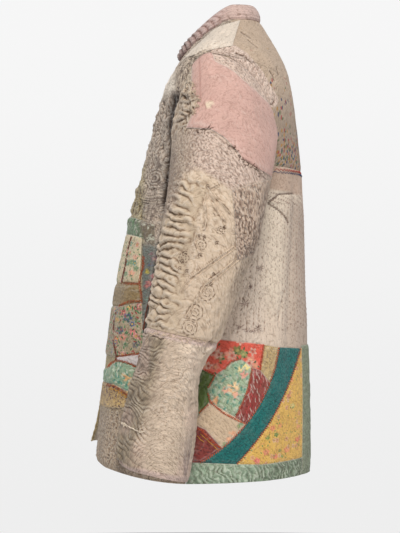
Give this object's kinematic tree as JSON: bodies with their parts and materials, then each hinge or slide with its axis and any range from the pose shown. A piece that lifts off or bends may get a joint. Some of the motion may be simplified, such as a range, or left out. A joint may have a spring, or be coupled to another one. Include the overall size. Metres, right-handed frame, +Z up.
{
  "type": "patched boro jacket",
  "caption": "Long-sleeved jacket pieced and patched from quilted cotton, standing open and filled out as worn, with a standing collar.",
  "frame": {"origin": "middle of the neck base, where the jacket hangs from the wearer's neck and shoulders", "axes": "+Z up, +X to the wearer's left, -Y to the front"},
  "size_m": [0.606, 0.3735, 0.7855],
  "materials": {
    "back_lower": "quilted cotton, cream with a pink cast, running-stitch rows and small printed flowers",
    "back_yoke": "tan cotton with scattered embroidered sprigs",
    "front": "grey-beige puckered cotton, embroidered all over",
    "sleeve_upper": "cream puckered cotton with embroidered sprays",
    "sleeve_lower": "pink-beige cotton, densely quilted and crinkled",
    "collar": "mauve-pink quilted cotton",
    "shoulder_patch": "cream cotton",
    "sleeve_pink_patch": "dusty pink cotton with frayed edges",
    "sleeve_brown_patch": "brown-beige cotton with dense embroidery",
    "front_mint_patch": "mint green cotton",
    "front_cream_patch": "cream cotton with a flower print",
    "front_olive_patch": "olive cotton",
    "front_blue_patch": "blue-grey cotton with a flower print",
    "front_white_patch": "off-white cotton",
    "front_flower_patch": "mint cotton with a flower print",
    "front_gold_patch": "gold-brown cotton with a flower print",
    "block_red": "red cotton with a flower print",
    "block_green": "dark olive cotton with a flower print",
    "block_mint": "mint cotton with a flower print",
    "block_striped": "red and dark striped cotton",
    "block_khaki": "khaki cotton with a flower print",
    "block_beige": "pale beige cotton",
    "block_burgundy": "burgundy cotton",
    "block_teal": "teal cotton",
    "block_yellow": "yellow cotton with a flower print",
    "hem_band": "sage green cotton, puckered",
    "back_band": "sage green cotton"
  },
  "bodies": {
    "root": {"back_lower": "back_lower", "back_yoke": "back_yoke", "front_left": "front", "front_right": "front", "sleeve_head_left": "sleeve_upper", "sleeve_head_right": "sleeve_upper", "sleeve_upper_left": "sleeve_upper", "sleeve_upper_right": "sleeve_upper", "sleeve_lower_left": "sleeve_lower", "sleeve_lower_right": "sleeve_lower", "collar": "collar", "shoulder_patch": "shoulder_patch", "sleeve_pink_patch": "sleeve_pink_patch", "sleeve_brown_patch": "sleeve_brown_patch", "front_mint_patch": "front_mint_patch", "front_cream_patch": "front_cream_patch", "front_olive_patch": "front_olive_patch", "front_blue_patch": "front_blue_patch", "front_white_patch": "front_white_patch", "front_flower_patch": "front_flower_patch", "front_gold_patch": "front_gold_patch", "block_red": "block_red", "block_green": "block_green", "block_mint": "block_mint", "block_striped": "block_striped", "block_khaki": "block_khaki", "block_beige": "block_beige", "block_burgundy": "block_burgundy", "block_teal": "block_teal", "block_yellow": "block_yellow", "hem_band": "hem_band", "back_band": "back_band"}
  },
  "joints": []
}
